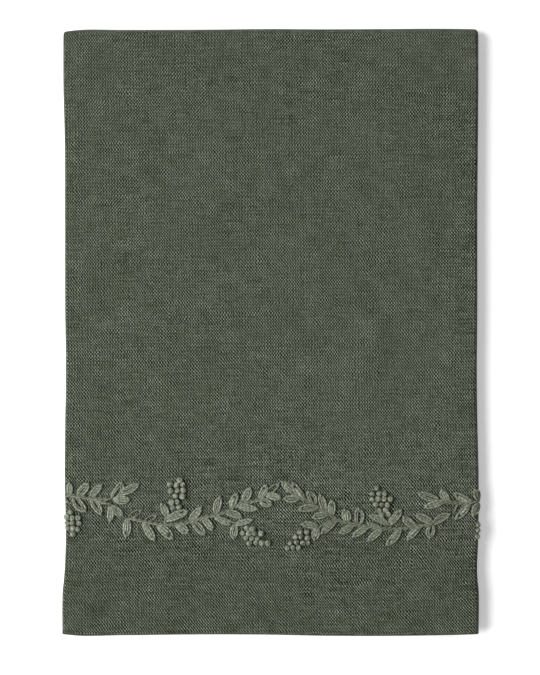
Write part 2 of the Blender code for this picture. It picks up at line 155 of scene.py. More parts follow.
# Noise on the flat cloth. Columns: stretch across, stretch along, level, scale, detail, roughness.
CLOTH_NOISE = {
    "warp_group": (0.05, 0.012, 0.0, 1.0, 3.0, 0.5),
    "weft_group": (0.012, 0.05, 7.0, 1.0, 3.0, 0.5),
    "warp_each": (0.5, 0.05, 11.5, 1.0, 1.0, 0.5),
    "weft_each": (0.05, 0.45, 13.5, 1.0, 1.0, 0.5),
    "warp_spot": (1.0, 0.45, 9.5, 0.27, 1.0, 0.5),
    "weft_spot": (0.45, 1.0, 17.5, 0.27, 1.0, 0.5),
    "warp_slub": (0.7, 0.05, 0.0, 1.0, 2.0, 0.7),
    "weft_slub": (0.09, 1.0, 3.0, 1.0, 2.0, 0.7),
    "lean": (1.0, 1.0, 4.0, 0.07, 3.0, 0.5),
    "gain": (1.0, 1.0, 19.0, 0.12, 2.0, 0.5),
    "cloud": (1.0, 1.0, 5.0, 0.04, 3.0, 0.6),
    "fibre": (1.0, 1.0, 2.0, 1.3, 1.0, 0.5),
    "seam_sway": (1.0, 1.0, 6.0, 0.25, 2.0, 0.5),
    "seam_patch": (1.0, 1.0, 8.0, 0.35, 2.0, 0.5),
}

# Threads of the embroidery: the step along them, and the turn, depth and mean of their plies' grooves.
STITCH_STEP = 0.00036
PLY_TWIST = 260.0
PLY_GROOVE = 0.16
GROOVE_MEAN = 0.6
# A thread's ends narrow to this share of it, squared, and go down below the cloth's face.
END_TAPER = 0.06
END_DIP = -0.0002
# Small steps over which a direction is measured.
PROBE = 0.0002
KNOT_PROBE = 0.0003

# Leaves: threads of the loop, of a thin leaf's loop and of what is inside, and the tie over the tip.
LOOP_RADIUS = 0.00047
THIN_LOOP_RADIUS = 0.00032
INNER_RADIUS = 0.00036
TIE_RADIUS = 0.00038
LEAF_FLATNESS = 0.85
# Sewn leaves spread a little wider than their solids, and many of those under this width are left open.
LEAF_SPREAD = 1.06
THIN_LEAF = 0.00275
THIN_CHANCE = 0.6
# The share of leaves with a second loop inside, and how far leaves bow and lean to one side.
LOOPED_CHANCE = 0.65
LEAF_BOW = 0.14
LEAF_LEAN = 0.12
# Leaves' feet go further down than other thread ends.
FOOT_DIP = -0.0003
# One side of a leaf's loop. Columns: share of its length, of its half width and of its height.
LEAF_SIDE = ((0.05, 0.30, 0.4), (0.20, 0.74, 0.9), (0.44, 1.0, 1.0), (0.66, 0.96, 1.0), (0.84, 0.68, 1.0))
# The tie over its tip. Columns: share of the leaf's length past the loop's end, share of the tie's height.
TIE_PATH = ((-0.15, 0.0), (-0.05, 1.0), (0.04, 1.0))
# The inner loop starts at this share of the leaf and is never narrower than this half width.
INNER_START = 0.05
INNER_HALF = 0.00022
# Straight stitches inside a leaf: the space for each, and how much of it the thread fills.
CENTRE_PITCH = 0.00095
CENTRE_FULLNESS = 1.08

# Stems. Columns of a stitch: share of its length, share of its slant, height over the cloth.
STEM_THREAD_RADIUS = 0.00046
STEM_SLANT = 0.00062
STEM_STITCH = 0.0044
STEM_PATH = (
    (0.0, -1.0, END_DIP), (0.12, -0.9, 0.0003), (0.5, 0.0, 0.0005), (0.88, 0.9, 0.0003), (1.0, 1.0, END_DIP),
)

# Knots: the thread, how wide it is wound, how that narrows, and how it climbs and tilts.
KNOT_THREAD_RADIUS = 0.00051
KNOT_WIND_RADIUS = 0.00095
KNOT_STEPS = 16
KNOT_NARROWING = 0.32
KNOT_FOOT = 0.0003
KNOT_CLIMB = 0.00075
KNOT_TILT = 0.00024
# The last pass over a knot. Columns: share of its reach, turn past the winding, height.
KNOT_OVER = 0.35 * KNOT_WIND_RADIUS
KNOT_PASS = ((1.0, 0.9, 0.00128), (-1.0, 0.0, 0.00095), (-1.0, 0.0, KNOT_FOOT))
# Bunches: the space for each knot, how much wider sewn ones spread, and how far out those on a fold sit.
KNOT_PITCH = 0.0023
BUNCH_SPREAD = 1.09
FOLD_BUNCH_OUT = 0.0006
# How far the hand strays from the chart, single knots stray from that, and threads rise and fall.
HAND_WANDER = 0.00015
KNOT_WANDER = 0.00022
THREAD_WANDER = 0.00007

# Tones of the thread: its plies, strands, patches and bright glints, which are painted highlights.
THREAD_TONE = 1.34
PLY_TONE = 0.22
PLY_LENGTH_MM = 1.6
STRAND_TONE = 2.1
STRANDS_ALONG = 0.5
STRANDS_ROUND = 7.0
PATCH_TONE = 0.8
PATCH_SCALE = 420.0
GLINT_TONE = 4.0
GLINT_FROM = 0.2
DARKEST_THREAD = 0.12
# How far the plies' turn wanders, and how finely.
LOOSE_TURN = 4.0
LOOSE_SCALE = 1100.0
# Painted shade and highlight: a thread is painted darkest, at this tone, where its painted light level is
# low, down by the cloth and on its sides, and pale from the top of this span of levels up.
PAINTED_SHADE_TONE = 0.16
PAINTED_SHADE_LEVEL_MM = 0.1
PAINTED_LIGHT_SPAN_MM = 0.8
# Painted light level: shares of a thread's height over the cloth and of its round crest, so its top is
# painted lighter. Both shares are less on stems and knots, where knots' crests make up more of it.
SIDE_LIGHT = 0.6
CREST_LIGHT = 1.6
STEM_LIGHT = 0.65
KNOT_LIGHT = 0.5
KNOT_CREST_LIGHT = 2.6
# Painted light: the left half's painted light levels are scaled up and the right half's down, so the left
# half is painted a little paler than the right.
HALF_LIGHT = {"left": 1.15, "right": 0.9}

# The garland mirrors about this line. Each half is charted by itself, because sewn by hand they differ.
MIRROR_LINE = 0.0027
# Stitches past these places lie on the hidden side of the side folds and aren't modelled. Knots stand
# further off the cloth and stop sooner.
FOLD_REACH = {"left": -0.0866, "right": 0.0866}
KNOT_REACH = 0.0860

# Stems. Rows of distance from the mirror line, height above the hem.
MAIN_STEM = {
    "right": (
        (0.0060, 0.0600), (0.0093, 0.0578), (0.0128, 0.0560), (0.0163, 0.0538),
        (0.0213, 0.0510), (0.0243, 0.0490), (0.0273, 0.0478), (0.0323, 0.0465),
        (0.0373, 0.0459), (0.0423, 0.0451), (0.0473, 0.0448), (0.0523, 0.0449),
        (0.0573, 0.0456), (0.0655, 0.0465),
    ),
    "left": (
        (0.0045, 0.0592), (0.0072, 0.0570), (0.0117, 0.0556), (0.0157, 0.0550),
        (0.0187, 0.0535), (0.0227, 0.0512), (0.0267, 0.0501), (0.0307, 0.0493),
        (0.0357, 0.0478), (0.0407, 0.0466), (0.0457, 0.0462), (0.0507, 0.0464),
        (0.0547, 0.0473), (0.0587, 0.0482), (0.0637, 0.0493),
    ),
}
BUNCH_STEM = {
    "right": ((0.0243, 0.0490), (0.0198, 0.0472), (0.0173, 0.0458), (0.0165, 0.0451)),
    "left": ((0.0276, 0.0499), (0.0237, 0.0486), (0.0202, 0.0473), (0.0180, 0.0460)),
}
UPPER_TWIG = {
    "right": ((0.0475, 0.0449), (0.0463, 0.0466), (0.0452, 0.0486)),
    "left": ((0.0487, 0.0463), (0.0475, 0.0480), (0.0467, 0.0496)),
}
SIDE_STEM = {
    "right": ((0.0670, 0.0566), (0.0723, 0.0556), (0.0773, 0.0552), (0.0875, 0.0553)),
    "left": (
        (0.0692, 0.0570), (0.0727, 0.0572), (0.0777, 0.0576), (0.0817, 0.0579),
        (0.0857, 0.0585), (0.0930, 0.0587),
    ),
}
SIDE_TWIG = {
    "right": ((0.0731, 0.0517), (0.0748, 0.0534), (0.0765, 0.0552)),
    "left": ((0.0702, 0.0542), (0.0722, 0.0554), (0.0747, 0.0563), (0.0782, 0.0576)),
}

# Leaves. Rows of foot (from the mirror line, above the hem), tip (the same), width.
MAIN_LEAVES = {
    "right": (
        (0.0064, 0.0598, 0.0017, 0.0640, 0.0032), (0.0111, 0.0570, 0.0060, 0.0639, 0.0030),
        (0.0093, 0.0577, 0.0025, 0.0571, 0.0030), (0.0154, 0.0546, 0.0125, 0.0603, 0.0035),
        (0.0198, 0.0520, 0.0176, 0.0590, 0.0033), (0.0166, 0.0535, 0.0086, 0.0529, 0.0032),
        (0.0224, 0.0502, 0.0225, 0.0566, 0.0033), (0.0210, 0.0510, 0.0143, 0.0494, 0.0031),
        (0.0170, 0.0456, 0.0098, 0.0464, 0.0031), (0.0164, 0.0453, 0.0150, 0.0398, 0.0037),
        (0.0246, 0.0488, 0.0182, 0.0427, 0.0030), (0.0287, 0.0474, 0.0277, 0.0529, 0.0036),
        (0.0316, 0.0467, 0.0259, 0.0429, 0.0031), (0.0336, 0.0463, 0.0337, 0.0534, 0.0043),
        (0.0379, 0.0459, 0.0313, 0.0415, 0.0030), (0.0436, 0.0449, 0.0377, 0.0400, 0.0031),
        (0.0430, 0.0449, 0.0374, 0.0473, 0.0024), (0.0460, 0.0469, 0.0384, 0.0503, 0.0028),
        (0.0463, 0.0464, 0.0515, 0.0527, 0.0035), (0.0514, 0.0448, 0.0454, 0.0382, 0.0032),
        (0.0577, 0.0457, 0.0525, 0.0497, 0.0032), (0.0652, 0.0466, 0.0581, 0.0505, 0.0033),
        (0.0599, 0.0460, 0.0545, 0.0402, 0.0029), (0.0646, 0.0465, 0.0635, 0.0405, 0.0036),
        (0.0650, 0.0465, 0.0719, 0.0508, 0.0031),
    ),
    "left": (
        (0.0049, 0.0590, -0.0003, 0.0632, 0.0025), (0.0080, 0.0567, 0.0049, 0.0627, 0.0031),
        (0.0053, 0.0586, -0.0012, 0.0574, 0.0032), (0.0079, 0.0567, 0.0029, 0.0544, 0.0034),
        (0.0149, 0.0551, 0.0117, 0.0615, 0.0036), (0.0198, 0.0530, 0.0172, 0.0589, 0.0031),
        (0.0175, 0.0543, 0.0090, 0.0527, 0.0030), (0.0264, 0.0502, 0.0244, 0.0576, 0.0033),
        (0.0225, 0.0513, 0.0155, 0.0490, 0.0030), (0.0270, 0.0498, 0.0204, 0.0460, 0.0027),
        (0.0183, 0.0462, 0.0109, 0.0482, 0.0026), (0.0182, 0.0462, 0.0188, 0.0402, 0.0034),
        (0.0320, 0.0489, 0.0278, 0.0436, 0.0030), (0.0374, 0.0474, 0.0325, 0.0532, 0.0029),
        (0.0362, 0.0476, 0.0312, 0.0419, 0.0035), (0.0430, 0.0463, 0.0379, 0.0425, 0.0034),
        (0.0476, 0.0478, 0.0380, 0.0517, 0.0033), (0.0467, 0.0493, 0.0492, 0.0551, 0.0031),
        (0.0510, 0.0463, 0.0445, 0.0402, 0.0036), (0.0563, 0.0477, 0.0511, 0.0501, 0.0023),
        (0.0570, 0.0478, 0.0520, 0.0398, 0.0033), (0.0630, 0.0492, 0.0575, 0.0524, 0.0027),
        (0.0636, 0.0492, 0.0643, 0.0412, 0.0034),
    ),
}
SIDE_LEAVES = {
    "right": (
        (0.0676, 0.0565, 0.0589, 0.0596, 0.0035), (0.0718, 0.0557, 0.0685, 0.0612, 0.0033),
        (0.0698, 0.0560, 0.0616, 0.0536, 0.0029), (0.0814, 0.0553, 0.0740, 0.0593, 0.0031),
        (0.0838, 0.0554, 0.0824, 0.0606, 0.0028), (0.0806, 0.0552, 0.0745, 0.0486, 0.0030),
        (0.0837, 0.0551, 0.0817, 0.0497, 0.0028),
    ),
    "left": (
        (0.0690, 0.0570, 0.0624, 0.0569, 0.0034), (0.0699, 0.0571, 0.0655, 0.0640, 0.0040),
        (0.0667, 0.0590, 0.0585, 0.0633, 0.0035), (0.0788, 0.0577, 0.0739, 0.0630, 0.0030),
        (0.0842, 0.0583, 0.0795, 0.0639, 0.0035), (0.0877, 0.0586, 0.0876, 0.0640, 0.0027),
        (0.0858, 0.0584, 0.0810, 0.0522, 0.0038), (0.0788, 0.0576, 0.0747, 0.0508, 0.0036),
        (0.0884, 0.0586, 0.0868, 0.0549, 0.0024), (0.0704, 0.0544, 0.0708, 0.0478, 0.0030),
        (0.0703, 0.0543, 0.0654, 0.0503, 0.0031),
    ),
}
# Rows of knots in each bunch: height above the hem, the first knot's distance from the mirror line, and the
# number of knots, counted away from that line.
BUNCHES = {
    "right": {
        "low_bunch": ((0.0430, 0.0094, 2), (0.0409, 0.0073, 3), (0.0388, 0.0054, 4), (0.0368, 0.0037, 3)),
        "high_bunch": (
            (0.0612, 0.0415, 1), (0.0593, 0.0399, 3), (0.0572, 0.0397, 4),
            (0.0551, 0.0412, 3), (0.0531, 0.0426, 2), (0.0511, 0.0435, 2),
        ),
        "fold_bunch": ((0.0459, 0.0832, 1), (0.0437, 0.0830, 1), (0.0415, 0.0828, 1)),
    },
    "left": {
        "low_bunch": ((0.0442, 0.0108, 2), (0.0424, 0.0078, 4), (0.0404, 0.0088, 3), (0.0385, 0.0047, 4)),
        "high_bunch": (
            (0.0647, 0.0416, 1), (0.0626, 0.0405, 3), (0.0604, 0.0401, 3),
            (0.0582, 0.0405, 2), (0.0561, 0.0426, 2), (0.0540, 0.0419, 2),
        ),
        "fold_bunch": (
            (0.0512, 0.0869, 1), (0.0491, 0.0840, 3), (0.0470, 0.0837, 3),
            (0.0449, 0.0839, 3), (0.0428, 0.0857, 1),
        ),
    },
}

# Hem stitches: small, far apart, in the cloth's own colour. Their row lies this far from the hem's edge.
HEM_LINE = 0.0219
HEM_STITCH = 0.0014
HEM_STITCH_PITCH = 0.0027
HEM_STITCH_STEP = 0.0003
HEM_THREAD_RADIUS = 0.00013
# A row starts this far in from the side fold, and is this much shorter than the pack is wide.
HEM_ROW_INSET = 0.002
HEM_ROW_SHORTER = 0.0045
# The rows, on the front panel and the back one: place along the cloth from the hem, and rise.
HEM_ROWS = ((HEM_LINE, 0.0001), (NAPKIN_LENGTH - HEM_LINE, -0.00004))
# How far stitches stray along the row and across it.
HEM_WANDER = 0.0002
HEM_DRIFT = 0.00012
# Columns of a stitch: share of its length, depth under the row's rise.
HEM_PATH = ((0.0, 0.0002), (0.25, 0.0), (0.75, 0.0), (1.0, 0.0002))

# Colours, linear.
LINEN = (0.0820, 0.0905, 0.0806)
THREAD = (0.128, 0.139, 0.1165)
# Added to both, so that their darker tones are greener.
SHADE = (-0.0041, 0.0, -0.0176)
DARKEST = (0.001, 0.001, 0.001)
FLOOR = (0.93, 0.93, 0.93)
# Finishes. Columns: roughness, specular level, sheen, sheen roughness, depth of relief.
LINEN_FINISH = (0.88, 0.06, 0.02, 0.5, 0.00012)
THREAD_FINISH = (0.5, 0.3, 0.05, 0.4, 0.0001)
RELIEF_STRENGTH = 0.5

# Camera and light. The picture, 540 by 675, is this high at a plane this far over the table.
PICTURE_HEIGHT = 0.2829
PICTURE_PLANE = 0.0055
PICTURE_CENTRE = (-0.0004, -0.0025)
LENS_MM = 200.0
SENSOR_MM = 36.0
FAR_CLIP = 20.0
LIGHT_ELEVATION = 41.5
LIGHT_DISTANCE = 3.2
LIGHT_SIZE = 2.94
LIGHT_POWER = 184.0
SKY = 0.32
TABLE_SIZE = 6.0
TABLE_GLOW = 0.30


def smooth_row(at, places, values):
    """Reads a table of places and values on a smooth curve through its rows."""
    slopes = np.gradient(values, places)
    row = np.clip(np.searchsorted(places, at) - 1, 0, len(places) - 2)
    span = places[row + 1] - places[row]
    share = np.clip((at - places[row]) / span, 0.0, 1.0)
    rise = share * share * (3 - 2 * share)
    bulge_in = share * (1 - share) ** 2 * slopes[row] * span
    bulge_out = share * share * (share - 1) * slopes[row + 1] * span
    return values[row] * (1 - rise) + values[row + 1] * rise + bulge_in + bulge_out


def smooth_step(x):
    """0 below 0, 1 above 1, and smooth between."""
    x = np.clip(x, 0.0, 1.0)
    return x * x * (3 - 2 * x)


def fold_in_thirds(u, v, out):
    """Folds both flaps behind: the place across the pack, along it, and the depth under its upper face."""
    left = u < 0
    radius = np.where(left, LAYER_PITCH / 2, LAYER_PITCH)
    turn = PACK_WIDTH / 2 - radius - SOLID_CLOTH / 2
    past_turn = np.abs(u) - turn
    angle = np.clip(past_turn / radius, 0.0, math.pi)
    on_flap = np.maximum(past_turn - math.pi * radius, 0.0)
    reach = np.minimum(np.abs(u), turn) - on_flap + (radius + out) * np.sin(angle)
    x = np.where(left, -reach, reach)
    depth = SOLID_CLOTH / 2 + radius - (radius + out) * np.cos(angle)
    skew = np.where(left, FLAP_SKEW["left"], FLAP_SKEW["right"])
    return x, v + skew * on_flap / (NAPKIN_WIDTH / 3), depth


def fold_in_half(v, depth):
    """Folds the pack behind itself: the place along the finished pack, and the height."""
    middle = PACK_HEIGHT / 2
    past_bend = v - BEND_START
    angle = np.clip(past_bend / BEND_LENGTH, 0.0, 1.0) * math.pi
    on_back = np.maximum(past_bend - BEND_LENGTH, 0.0)
    y = np.minimum(v, BEND_START) - on_back + (middle - depth) * np.sin(angle)
    return y, middle + (middle - depth) * np.cos(angle)


def stray(x, y, z):
    """Moves the true pack's points to its uneven edges, its swollen hem and its soft waves."""
    across = x / PACK_WIDTH + 0.5
    along = y / PACK_LENGTH + 0.5
    sides = np.array(SIDE_EDGES)
    ends = np.array(END_EDGES)
    left = smooth_row(y, sides[:, 0], sides[:, 1])
    right = smooth_row(y, sides[:, 0], sides[:, 2])
    hem = smooth_row(x, ends[:, 0], ends[:, 1])
    fold = smooth_row(x, ends[:, 0], ends[:, 2])
    rise = 1 + HEM_SWELL * smooth_step((HEM_DEPTH + HEM_RAMP / 2 - (y + PACK_LENGTH / 2)) / HEM_RAMP)
    for share, waves_across, waves_along, phase in WAVES:
        turns = 2 * math.pi * (waves_across * across + waves_along * along)
        rise = rise + share * np.sin(turns + phase + 0.5 * z / PACK_HEIGHT)
    return left + (right - left) * across, hem + (fold - hem) * along, z * rise


def folded(points):
    """Takes points of the flat cloth (across, along, height over the layer's middle) to the folded pack."""
    points = np.asarray(points, float).reshape(-1, 3)
    x, v, depth = fold_in_thirds(points[:, 0], points[:, 1], points[:, 2])
    y, z = fold_in_half(v, depth)
    return np.stack(stray(x, y, z), axis=1)


def stations(stretches):
    """One row of places from stretches of (start, end, longest step)."""
    places = [stretches[0][0]]
    for start, end, longest in stretches:
        steps = max(1, math.ceil((end - start) / longest - 1e-6))
        places.extend(start + (end - start) * (step + 1) / steps for step in range(steps))
    return np.array(places)


def edge_stretches(edge, inward):
    """Fine steps over a rounded hem edge, and at the line where the hem is sewn down."""
    marks = (0.0, EDGE_ROUNDING, EDGE_REACH, HEM_DEPTH - SEAM_REACH, HEM_DEPTH + SEAM_REACH)
    steps = (EDGE_ROUNDING / 4, EDGE_STEP, GRID_STEP, SEAM_STEP)
    stretches = []
    for start, end, longest in zip(marks, marks[1:], steps):
        low, high = sorted((edge + inward * start, edge + inward * end))
        stretches.append((low, high, longest))
    return stretches if inward > 0 else stretches[::-1]


def across_stations():
    """Places of the mesh's points across the cloth."""
    near = edge_stretches(CLOTH_EDGES[0], 1)
    far = edge_stretches(CLOTH_EDGES[1], -1)
    middle = [
        (near[-1][1], LEFT_FLAP, GRID_STEP),
        (LEFT_FLAP, LEFT_TURN, LEFT_FOLD_STEP),
        (LEFT_TURN, RIGHT_TURN, GRID_STEP),
        (RIGHT_TURN, RIGHT_FLAP, RIGHT_FOLD_STEP),
        (RIGHT_FLAP, far[0][0], GRID_STEP),
    ]
    return stations(near + middle + far)


def along_stations():
    """Places of the mesh's points along the cloth."""
    near = edge_stretches(CLOTH_EDGES[2], 1)
    far = edge_stretches(CLOTH_EDGES[3], -1)
    bend_end = BEND_START + BEND_LENGTH
    middle = [
        (near[-1][1], BEND_START, GRID_STEP),
        (BEND_START, bend_end, TOP_FOLD_STEP),
        (bend_end, far[0][0], GRID_STEP),
    ]
    return stations(near + middle + far)


def from_cloth_edge(u, v):
    """How far a place on the flat cloth is from its nearest edge."""
    left, right, hem, far_hem = CLOTH_EDGES
    return np.minimum(np.minimum(u - left, right - u), np.minimum(v - hem, far_hem - v))


def in_hem(inward):
    """1 in the doubled hem, 0 in the single cloth, and smooth between."""
    return smooth_step((HEM_DEPTH + HEM_STEP / 2 - inward) / HEM_STEP)


def outer_face(inward):
    """The height of the cloth's outer face over the middle of its layer: drawn in where the hem is sewn."""
    flush = (SOLID_CLOTH - SHEET) / 2
    seam = HEM_SEAM * np.exp(-(((inward - HEM_LINE) / HEM_SEAM_REACH) ** 2))
    return SHEET / 2 + SHEET_OUT + (flush - SHEET_OUT) * in_hem(inward) - seam


def thicken(corners):
    """Gives the flat slab's two faces their heights: doubled in the hems, and rounded at the edges."""
    inward = from_cloth_edge(corners[:, 0], corners[:, 1])
    thickness = SHEET * (1 + HEM_FULLNESS * in_hem(inward))
    middle = outer_face(inward) - thickness / 2
    edge = np.clip(inward / EDGE_ROUNDING, 0.0, 1.0)
    rounding = np.sqrt(np.maximum(1 - (1 - edge) ** 2, EDGE_BLUNTNESS))
    corners[:, 2] = middle + np.sign(corners[:, 2]) * thickness / 2 * rounding


def mesh_object(name, mesh):
    """An object in the scene that shows a mesh."""
    obj = bpy.data.objects.new(name, mesh)
    bpy.context.scene.collection.objects.link(obj)
    return obj


def make_cloth():
    """The folded sheet: a fine flat slab, thickened in its hems, then folded point by point."""
    across = across_stations()
    along = along_stations()
    columns = len(across) - 1
    rows = len(along) - 1
    bm = bmesh.new()
    bmesh.ops.create_grid(bm, x_segments=columns, y_segments=rows, size=0.5)
    for vert in bm.verts:
        column = round((vert.co.x + 0.5) * columns)
        row = round((vert.co.y + 0.5) * rows)
        vert.co = (across[column], along[row], 0.0)
    flat = bpy.data.meshes.new("flat_sheet")
    bm.to_mesh(flat)
    bm.free()
    sheet = mesh_object("flat_sheet", flat)
    thickness = sheet.modifiers.new("thickness", "SOLIDIFY")
    thickness.thickness = SHEET
    thickness.offset = 0.0
    mesh = bpy.data.meshes.new_from_object(sheet.evaluated_get(bpy.context.evaluated_depsgraph_get()))
    bpy.data.objects.remove(sheet)
    corners = np.empty(len(mesh.vertices) * 3)
    mesh.vertices.foreach_get("co", corners)
    corners = corners.reshape(-1, 3)
    at = np.empty(len(mesh.loops), int)
    mesh.loops.foreach_get("vertex_index", at)
    layer = mesh.uv_layers.new(name="cloth")
    layer.data.foreach_set("uv", (corners[at, :2] * UV_PER_METRE).ravel())
    thicken(corners)
    mesh.vertices.foreach_set("co", folded(corners).ravel())
    mesh.update()
    mesh.shade_smooth()
    cloth = mesh_object("folded_cloth", mesh)
    cloth.data.materials.append(linen_material())
    return cloth


def smooth_path(path, step):
    """Places along a path at even steps, and the smooth line through its points there."""
    path = np.asarray(path, float)
    reach = np.r_[0.0, np.cumsum(np.linalg.norm(np.diff(path, axis=0), axis=1))]
    count = max(4, math.ceil(reach[-1] / step))
    at = np.linspace(0.0, reach[-1], count + 1)
    return at, np.stack([smooth_row(at, reach, path[:, axis]) for axis in range(3)], axis=1)


class Threads:
    """Gathers threads laid on the cloth into one mesh."""

    def __init__(self, lobes=5, sides=12, light=1.0):
        self.points = []
        self.faces = []
        self.uvs = []
        self.painted_light_levels = []
        self.count = 0
        self.lobes = lobes
        self.sides = sides
        self.light = light

    def lay(self, path, radius, flat=1.0, step=STITCH_STEP, light=1.0):
        """A round thread along a smoothed path of (across, above the hem, rise over the cloth)."""
        at, line = smooth_path(path, step)
        v = line[:, 1] - PACK_LENGTH / 2
        base = np.stack([line[:, 0], v, outer_face(from_cloth_edge(line[:, 0], v)) + line[:, 2]], axis=1)
        middle = folded(base)
        above = folded(base + (0.0, 0.0, PROBE)) - middle
        self.sweep(middle, above, line[:, 2], at, radius, flat, light)

    def sweep(self, middle, above, rise, at, radius, flat, light, crest=CREST_LIGHT):
        """A tube round a line that tapers at both ends. Rise is the line's height over the cloth."""
        along = np.gradient(middle, axis=0)
        along /= np.linalg.norm(along, axis=1)[:, None]
        beside = np.cross(along, above)
        beside /= np.linalg.norm(beside, axis=1)[:, None]
        upward = np.cross(beside, along)
        angles = np.linspace(0.0, 2 * math.pi, self.sides, endpoint=False)
        grooves = np.abs(np.cos((angles[None, :] + PLY_TWIST * at[:, None]) * self.lobes / 2))
        plies = 1 + PLY_GROOVE * (grooves - GROOVE_MEAN)
        ends = np.clip(np.minimum(at, at[-1] - at) / radius, 0, 1)
        taper = np.sqrt(np.clip(1 - (1 - ends) ** 2, END_TAPER, 1.0))
        size = radius * plies * taper[:, None]
        ring = middle[:, None, :] + size[..., None] * (
            np.cos(angles)[None, :, None] * beside[:, None, :]
            + flat * np.sin(angles)[None, :, None] * upward[:, None, :]
        )
        # Painted light level of each corner: higher with the thread's height over the cloth and on its upper
        # crest,  so the thread is painted darker low down and on its sides. The light arguments scale it.
        high = rise[:, None] * SIDE_LIGHT + flat * np.sin(angles) * size * crest
        self.points.append(ring.reshape(-1, 3))
        self.skin(at, high.ravel() * 1000 * light * self.light, rise.min() * 1000)

    def skin(self, at, high, low):
        """Faces over a thread's rings and ends, mapped along it and round it, with each corner's painted
        light level. The end caps get a low one, from the thread's lowest rise.
        """
        rows = len(at)
        sides = self.sides
        row = np.arange(rows - 1)[:, None] * sides
        side = np.arange(sides)[None, :]
        after = (side + 1) % sides
        quads = np.stack([row + side, row + after, row + sides + after, row + sides + side], axis=-1)
        self.faces.extend((self.count + quads.reshape(-1, 4)).tolist())
        self.faces.append((self.count + np.arange(sides))[::-1].tolist())
        self.faces.append((self.count + (rows - 1) * sides + np.arange(sides)).tolist())
        self.count += rows * sides
        here = at[:-1, None] * 1000 + 0 * side
        there = at[1:, None] * 1000 + 0 * side
        turn = side / sides + 0 * row
        corners = [(here, turn), (here, turn + 1 / sides), (there, turn + 1 / sides), (there, turn)]
        uv = np.stack([np.stack(corner, axis=-1) for corner in corners], axis=2)
        self.uvs.append(uv.reshape(-1, 2))
        self.uvs.append(np.zeros((2 * sides, 2)))
        self.painted_light_levels.append(high[quads.reshape(-1)])
        self.painted_light_levels.append(np.full(2 * sides, low))

    def make(self, name, slot, material, *nodes):
        """One piece of all the threads laid so far. It stands for the nodes."""
        mesh = bpy.data.meshes.new(name)
        mesh.from_pydata(np.concatenate(self.points).tolist(), [], self.faces)
        painted_light_levels = np.concatenate(self.painted_light_levels)
        # The rise map carries each corner's painted light level.
        maps = {"thread": np.concatenate(self.uvs), "rise": np.stack([painted_light_levels, 0 * painted_light_levels], axis=1)}
        for layer, places in maps.items():
            mesh.uv_layers.new(name=layer).data.foreach_set("uv", places.ravel())
        mesh.shade_smooth()
        mesh.materials.append(material)
        piece = mesh_object(name, mesh)
        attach(piece, "root")
        if nodes:
            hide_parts(*nodes)


def place_in_garland(side, distance, height):
    """A chart place as a place on the cloth: side is 1 for the right half and -1 for the left."""
    across = min(max(MIRROR_LINE + side * distance, FOLD_REACH["left"]), FOLD_REACH["right"])
    return across, height


def sew_stem(threads, side, chart, wander):
    """Stem stitch: slanting stitches, each starting halfway along the one before."""
    rows = np.array([place_in_garland(side, *row) for row in chart])
    reach = np.r_[0.0, np.cumsum(np.hypot(*np.diff(rows, axis=0).T))]
    stitches = max(1, round((reach[-1] - STEM_STITCH / 2) / (STEM_STITCH / 2)))
    pitch = max(reach[-1] - STEM_STITCH, 0.0) / max(stitches - 1, 1)

    def at(place, aside, rise):
        place = np.clip(place, 0.0, reach[-1])
        x, y = (smooth_row(np.array([place]), reach, rows[:, k])[0] for k in range(2))
        around = np.array([place - PROBE, place + PROBE])
        tangent = Vector([np.diff(smooth_row(around, reach, rows[:, k]))[0] for k in range(2)]).normalized()
        return x - tangent.y * aside, y + tangent.x * aside, rise

    for stitch in range(stitches):
        start = stitch * pitch
        length = min(STEM_STITCH, reach[-1] - start) * wander.uniform(0.96, 1.04)
        slant = STEM_SLANT * wander.uniform(0.8, 1.2)
        path = [at(start + share * length, aside * slant, rise) for share, aside, rise in STEM_PATH]
        threads.lay(path, STEM_THREAD_RADIUS * wander.uniform(0.92, 1.08), light=STEM_LIGHT)


def leaf_loop(at, half, end, lean, top):
    """Out along one side of a leaf, round its tip and back: an oval with a soft point."""
    shape = (*LEAF_SIDE, (end - 0.02, 0.34, 0.95))
    out = [at(share, half * aside * (1 + lean), top * rise) for share, aside, rise in shape]
    back = [at(share, -half * aside * (1 - lean), top * rise) for share, aside, rise in reversed(shape)]
    return [at(0.0, 0.0, FOOT_DIP), *out, at(end, 0.0, top * 0.9), *back, at(0.0, 0.0, FOOT_DIP)]


def tie_leaf(threads, at, end, top, length, fine):
    """The short stitch that holds a leaf's loop down over its tip."""
    past_tip = fine.uniform(0.0001, 0.0006) / length
    path = [at(end + past, 0.0, share * top) for past, share in TIE_PATH]
    threads.lay([*path, at(1 + past_tip, 0.0, END_DIP)], TIE_RADIUS)


def sew_inner_loop(threads, at, inner, end, lean, top, fine):
    """A second loop inside a leaf's first one."""
    half = max(inner / 2 - INNER_RADIUS, INNER_HALF)
    inner_top = top * fine.uniform(0.75, 1.15)
    reach = fine.uniform(0.74, 0.84)

    def inside(share, aside, rise):
        return at(INNER_START + share * reach, aside, rise)

    loop = leaf_loop(inside, half, end, lean, inner_top)
    threads.lay(loop, INNER_RADIUS * fine.uniform(0.94, 1.1), flat=LEAF_FLATNESS)


def sew_straight_stitches(threads, at, inner, fine):
    """Straight stitches side by side that fill a leaf's loop."""
    count = max(1, round(inner / CENTRE_PITCH))
    pitch = inner / count
    for strand in range(count):
        reach = fine.uniform(0.7, 0.88)
        aside = (strand + 0.5) * pitch - inner / 2
        rise = fine.uniform(0.00036, 0.0006)
        path = [
            at(0.02, aside * 0.2, END_DIP),
            at(0.14, aside * 0.7, rise * 0.8),
            at(0.5, aside, rise),
            at(reach - 0.06, aside * 0.9, rise * 0.8),
            at(reach, aside * 0.7, END_DIP),
        ]
        threads.lay(path, max(pitch / 2 * CENTRE_FULLNESS, THIN_LOOP_RADIUS), flat=LEAF_FLATNESS)


